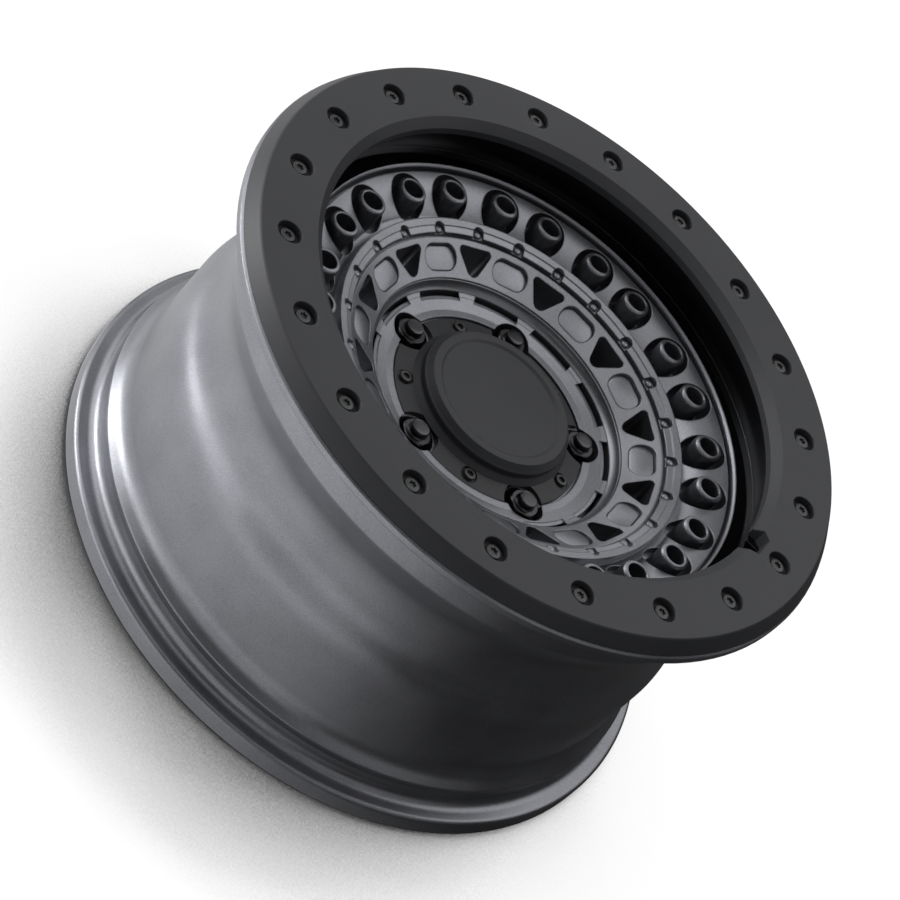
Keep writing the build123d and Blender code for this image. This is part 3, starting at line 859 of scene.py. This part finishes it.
def pocket_loop(inset, lower):
    """A rounded outline of a pocket's plate, which follows the web's slope, set in from the edge and down."""
    half_long, half_wide = POCKET_HALF[0] - inset, POCKET_HALF[1] - inset
    corner = POCKET_CORNER - inset
    quarter_steps = LOOP_STEPS // 4
    outline = []
    for step in range(LOOP_STEPS):
        quarter, share = divmod(step, quarter_steps)
        turn = math.pi / 2 * (quarter + share / (quarter_steps - 1))
        across = 1 if quarter in (0, 3) else -1
        along = 1 if quarter in (0, 1) else -1
        x = across * (half_long - corner) + corner * math.cos(turn)
        y = along * (half_wide - corner) + corner * math.sin(turn)
        share_out = (x + POCKET_HALF[0]) / (2 * POCKET_HALF[0])
        fall = POCKET_FALL[1] + share_out * (POCKET_FALL[0] - POCKET_FALL[1])
        depth = web_depth(POCKET_CIRCLE + x) + fall + lower
        outline.append((x * MM, y * MM, cad_high.z - depth * MM))
    return outline


def pocket_floors():
    """The plate in each of the web's pockets, with a thin gap round it."""
    plate = stacked([pocket_loop(inset, lower) for inset, lower in POCKET_LEVELS])
    places = circle_of(POCKET_CIRCLE, BOSS_PAIRS, BOSS_PHASE)
    finish_mesh("pocket_floors", *patterned(plate, places), "casting")


def cap_skin():
    """The cap's drum, finely turned: its sunk disc, raised rim, sloping shoulder and hollow foot."""
    disc = CAP_TOP + CAP_STEP - PROUD
    rim = CAP_TOP - CAP_RISE
    section = rounded([
        (at(CAP_MIDDLE, disc), 0),
        (at(CAP_DISC, disc), CAP_RIM_ROUND),
        (at(CAP_DISC + CAP_BEVEL, rim), CAP_RIM_ROUND),
        (at(CAP_DRUM - CAP_SHOULDER, rim), CAP_EDGE_ROUND),
        (at(CAP_DRUM + PROUD, CAP_TOP + CAP_SHOULDER), CAP_WALL_ROUND),
        (at(CAP_DRUM + PROUD, CAP_FOOT - CAP_SLOPE), CAP_WALL_ROUND),
        (at(CAP_DRUM + CAP_SLOPE + PROUD, CAP_FOOT - PROUD), 0),
    ])
    finish_mesh("cap_skin", *spun(section, TURN_STEPS // 2), "cap_plastic")


def cap_screw(index):
    """One of the cap's screws, with a bevelled head and a hexagonal socket."""
    shank, length = CAP_SCREW_SHANK
    head, height = CAP_SCREW_HEAD
    top = CAP_SCREW_SEAT - height
    screw = stacked([
        ring_of(shank, CAP_SCREW_SEAT + length),
        ring_of(shank, CAP_SCREW_SEAT),
        ring_of(head, CAP_SCREW_SEAT),
        *(ring_of(radius, top + fall) for radius, fall in CAP_SCREW_EDGE),
        *(ring_of(hexagon(half_flats), top + fall) for half_flats, fall in CAP_SCREW_SOCKET),
    ], open_start=False)
    places = [(CAP_SCREW_CIRCLE, CAP_SCREW_PHASE + index * 360 / LUG_COUNT)]
    piece = finish_mesh(f"cap_screw_head_{index + 1}", *patterned(screw, places), "screw_steel")
    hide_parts(f"cap_screw_{index + 1}")


def lug_nut(index):
    """One lug nut: a cone seat, a bevelled hexagon and a round tip."""
    bore, bore_end = NUT_BORE
    corner = NUT_HALF_FLATS / math.cos(math.pi / 6)
    nut = stacked([
        ring_of(bore, bore_end),
        ring_of(bore, NUT_FOOT),
        ring_of(NUT_CONE[0], NUT_FOOT),
        ring_of(NUT_CONE[1], NUT_BASE),
        ring_of(hexagon(NUT_HALF_FLATS), NUT_BASE),
        *(ring_of(hexagon(NUT_HALF_FLATS, corner - inset), NUT_SHOULDER + fall) for inset, fall in NUT_CORNER_BEVEL),
        ring_of(NUT_TIP_RADIUS + NUT_COLLAR, NUT_SHOULDER),
        ring_of(NUT_TIP_RADIUS, NUT_SHOULDER - NUT_COLLAR),
        *(ring_of(NUT_TIP_RADIUS - inset, NUT_TIP + fall) for inset, fall in NUT_TIP_BEVEL),
        ring_of(NUT_TIP_FLAT, NUT_TIP),
    ], open_start=False)
    places = [(LUG_CIRCLE, LUG_PHASE + index * 360 / LUG_COUNT)]
    piece = finish_mesh(f"nut_{index + 1}", *patterned(nut, places), "nut_steel")
    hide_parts(f"lug_nut_{index + 1}")


bpy.context.scene.view_settings.view_transform = "Standard"
make_camera()
make_world()
make_floor()
for name, (azimuth, elevation, size, power) in LIGHTS.items():
    soft_box(name, azimuth, elevation, size, power)
finishes = {name: make_finish(name, finish) for name, finish in FINISHES.items()}
dress_nodes(finishes)
barrel_skin()
ring_body()
ring_screw_heads()
boss_lips()
notch_pins()
hub_round()
hub_teeth()
slot_ledges()
pocket_floors()
cap_skin()
for index in range(LUG_COUNT):
    cap_screw(index)
    lug_nut(index)
